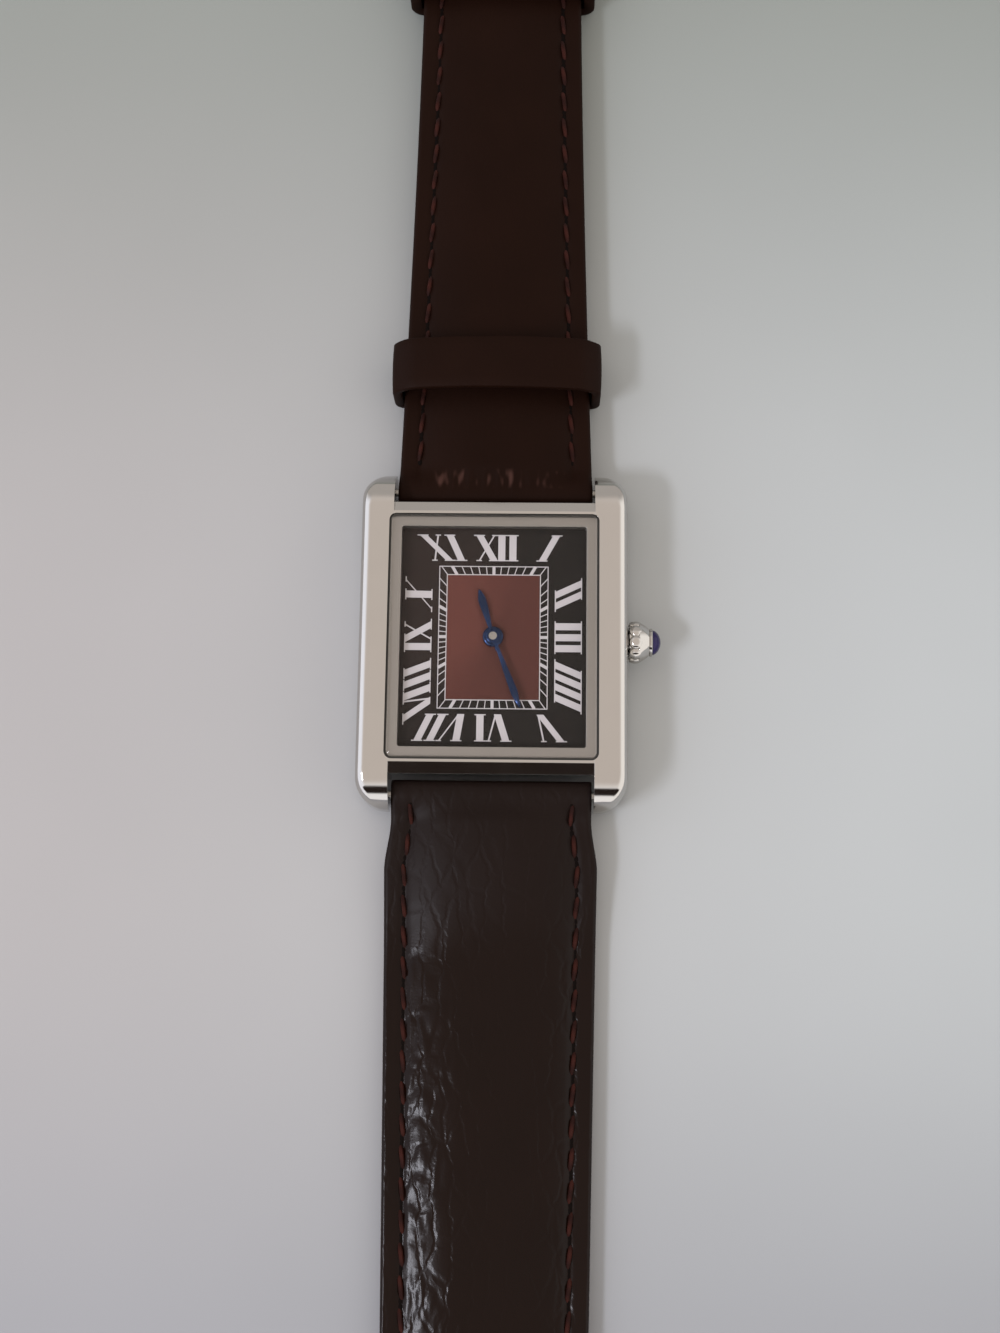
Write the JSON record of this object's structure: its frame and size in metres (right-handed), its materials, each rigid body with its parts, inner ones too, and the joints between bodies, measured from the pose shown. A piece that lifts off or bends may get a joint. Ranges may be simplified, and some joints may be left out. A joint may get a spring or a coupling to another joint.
{
  "type": "wristwatch with leather strap",
  "caption": "Rectangular steel wristwatch lying open, with flat crystal, blued hands, quartz movement, and padded, stitched leather strap halves with keepers and pin buckle.",
  "frame": {"origin": "centre of the case back's flat outer face, on which the watch rests", "axes": "+Z out through the dial, +Y towards 12 o'clock along the strap, +X towards the crown"},
  "size_m": [0.0305, 0.2269, 0.0072],
  "materials": {
    "polished_steel": "mirror polished stainless steel",
    "satin_steel": "satin stainless steel",
    "mineral_glass": "clear, polished, with a fine edge bevel",
    "blued_steel": "thermally blued, polished",
    "blue_stone": "polished dark blue synthetic stone",
    "black_rubber": "matte",
    "dial_lacquer": "lacquered dark brown with a reddish centre field",
    "silver_print": "printed, slightly raised",
    "brass": "machined",
    "plated_brass": "nickel-plated, matte",
    "silicon_steel": "punched, bare",
    "copper_wire": "enamelled winding",
    "magnet": "sintered magnet on a steel pinion",
    "battery_steel": "drawn steel can",
    "movement_plastic": "moulded, off-white",
    "board_green": "circuit laminate",
    "chip_black": "epoxy",
    "brown_leather": "dark chocolate calfskin, smooth with fine creases",
    "lining_leather": "matte lining leather",
    "filler": "pressed felt padding",
    "brown_thread": "waxed linen thread"
  },
  "bodies": {
    "watch_case": {"case_middle": "polished_steel", "case_back": "satin_steel", "case_back_gasket": "black_rubber", "case_back_screws": "satin_steel", "crystal": "mineral_glass", "crystal_gasket": "black_rubber", "dial_flange": "satin_steel", "dial": "dial_lacquer", "hour_numerals": "silver_print", "minute_track": "silver_print", "movement_holder": "movement_plastic", "main_plate": "plated_brass", "train_bridge": "plated_brass", "bridge_screws": "satin_steel", "stator": "silicon_steel", "coil_core": "silicon_steel", "coil_winding": "copper_wire", "battery": "battery_steel", "battery_clip": "satin_steel", "circuit_board": "board_green", "chip": "chip_black", "quartz_can": "battery_steel", "crown_tube": "satin_steel", "lug_bar_barrels": "satin_steel", "lug_bar_springs": "satin_steel"},
    "minute_hand_arbor": {"centre_wheel": "brass", "cannon_pinion": "satin_steel", "minute_hand": "blued_steel"},
    "hour_hand_arbor": {"hour_wheel": "brass", "hour_hand": "blued_steel"},
    "minute_wheel_arbor": {"minute_wheel": "brass"},
    "third_wheel_arbor": {"third_wheel": "brass"},
    "intermediate_wheel_arbor": {"intermediate_wheel": "movement_plastic"},
    "rotor_arbor": {"rotor": "magnet"},
    "keyless_pinion": {"sliding_pinion": "satin_steel"},
    "crown_and_stem": {"winding_stem": "satin_steel", "crown": "polished_steel", "crown_cabochon": "blue_stone", "crown_gasket": "black_rubber"},
    "setting_lever_arm": {"setting_lever": "satin_steel"},
    "upper_strap": {"strap_short_upper": "brown_leather", "strap_short_filler": "filler", "strap_short_lining": "lining_leather", "stitching_short": "brown_thread", "fixed_keeper": "brown_leather"},
    "lower_strap": {"strap_long_upper": "brown_leather", "strap_long_filler": "filler", "strap_long_lining": "lining_leather", "stitching_long": "brown_thread"},
    "loose_keeper": {"sliding_keeper": "brown_leather"},
    "buckle": {"buckle_frame": "polished_steel", "buckle_bar_barrel": "satin_steel", "buckle_bar_spring": "satin_steel"},
    "tongue": {"buckle_tongue": "polished_steel"},
    "upper_tip_left": {"upper_bar_tip_left": "satin_steel"},
    "upper_tip_right": {"upper_bar_tip_right": "satin_steel"},
    "lower_tip_left": {"lower_bar_tip_left": "satin_steel"},
    "lower_tip_right": {"lower_bar_tip_right": "satin_steel"},
    "buckle_bar_tip_left": {"buckle_tip_left": "satin_steel"},
    "buckle_bar_tip_right": {"buckle_tip_right": "satin_steel"}
  },
  "joints": [
    {"name": "minute_hand_turn", "type": "hinge", "parent": "watch_case", "child": "minute_hand_arbor", "pos_m": [0, 0, 0.00542], "axis": [0, 0, -1], "continuous": true},
    {"name": "hour_hand_turn", "type": "hinge", "parent": "watch_case", "child": "hour_hand_arbor", "pos_m": [0, 0, 0.00506], "axis": [0, 0, -1], "continuous": true},
    {"name": "minute_wheel_turn", "type": "hinge", "parent": "watch_case", "child": "minute_wheel_arbor", "pos_m": [0.0017, 0.0017, 0.0039], "axis": [0, 0, -1], "continuous": true},
    {"name": "third_wheel_turn", "type": "hinge", "parent": "watch_case", "child": "third_wheel_arbor", "pos_m": [-0.00125, 0.00217, 0.00207], "axis": [0, 0, -1], "continuous": true},
    {"name": "intermediate_wheel_turn", "type": "hinge", "parent": "watch_case", "child": "intermediate_wheel_arbor", "pos_m": [-0.00333, 0.00337, 0.00176], "axis": [0, 0, -1], "continuous": true},
    {"name": "rotor_turn", "type": "hinge", "parent": "watch_case", "child": "rotor_arbor", "pos_m": [-0.00333, 0.00557, 0.00176], "axis": [0, 0, -1], "continuous": true},
    {"name": "crown_turn", "type": "hinge", "parent": "watch_case", "child": "keyless_pinion", "pos_m": [0.0043, 0, 0.00315], "axis": [1, 0, 0], "continuous": true},
    {"name": "crown_pull", "type": "slide", "parent": "keyless_pinion", "child": "crown_and_stem", "axis": [1, 0, 0], "range_m": [0, 0.0008]},
    {"name": "setting_lever_turn", "type": "hinge", "parent": "watch_case", "child": "setting_lever_arm", "pos_m": [0.0064, -0.00155, 0.0024], "axis": [0, 0, -1], "range_deg": [0, 28.65]},
    {"name": "upper_strap_swing", "type": "hinge", "parent": "watch_case", "child": "upper_strap", "pos_m": [0, 0.0157, 0.003], "axis": [-1, 0, 0], "range_deg": [-30, 65]},
    {"name": "lower_strap_swing", "type": "hinge", "parent": "watch_case", "child": "lower_strap", "pos_m": [0, -0.0157, 0.003], "axis": [1, 0, 0], "range_deg": [-30, 65]},
    {"name": "sliding_keeper_slide", "type": "slide", "parent": "upper_strap", "child": "loose_keeper", "axis": [0, 1, 0], "range_m": [-0.003, 0.039]},
    {"name": "buckle_turn", "type": "hinge", "parent": "upper_strap", "child": "buckle", "pos_m": [0, 0.0857, 0.00226], "axis": [1, 0, 0], "range_deg": [-40, 55]},
    {"name": "tongue_lift", "type": "hinge", "parent": "buckle", "child": "tongue", "pos_m": [0, 0.0857, 0.00226], "axis": [1, 0, 0], "range_deg": [0, 85]},
    {"name": "upper_left_tip_press", "type": "slide", "parent": "watch_case", "child": "upper_tip_left", "axis": [1, 0, 0], "range_m": [0, 0.0009], "stiffness_N_per_m": 300, "springref_m": -0.0003, "deforming": ["lug_bar_springs"]},
    {"name": "upper_right_tip_press", "type": "slide", "parent": "watch_case", "child": "upper_tip_right", "axis": [-1, 0, 0], "range_m": [0, 0.0009], "stiffness_N_per_m": 300, "springref_m": -0.0003},
    {"name": "lower_left_tip_press", "type": "slide", "parent": "watch_case", "child": "lower_tip_left", "axis": [1, 0, 0], "range_m": [0, 0.0009], "stiffness_N_per_m": 300, "springref_m": -0.0003},
    {"name": "lower_right_tip_press", "type": "slide", "parent": "watch_case", "child": "lower_tip_right", "axis": [-1, 0, 0], "range_m": [0, 0.0009], "stiffness_N_per_m": 300, "springref_m": -0.0003},
    {"name": "buckle_left_tip_press", "type": "slide", "parent": "buckle", "child": "buckle_bar_tip_left", "axis": [1, 0, 0], "range_m": [0, 0.0009], "stiffness_N_per_m": 300, "springref_m": -0.0003, "deforming": ["buckle_bar_spring"]},
    {"name": "buckle_right_tip_press", "type": "slide", "parent": "buckle", "child": "buckle_bar_tip_right", "axis": [-1, 0, 0], "range_m": [0, 0.0009], "stiffness_N_per_m": 300, "springref_m": -0.0003}
  ],
  "couplings": [
    {"joint": "hour_hand_turn", "follows": "minute_hand_turn", "ratio": 0.083333},
    {"joint": "minute_wheel_turn", "follows": "minute_hand_turn", "ratio": -0.33333},
    {"joint": "third_wheel_turn", "follows": "minute_hand_turn", "ratio": -4},
    {"joint": "intermediate_wheel_turn", "follows": "minute_hand_turn", "ratio": 20},
    {"joint": "rotor_turn", "follows": "minute_hand_turn", "ratio": -90},
    {"joint": "setting_lever_turn", "follows": "crown_pull", "rad_per_m": 625}
  ]
}
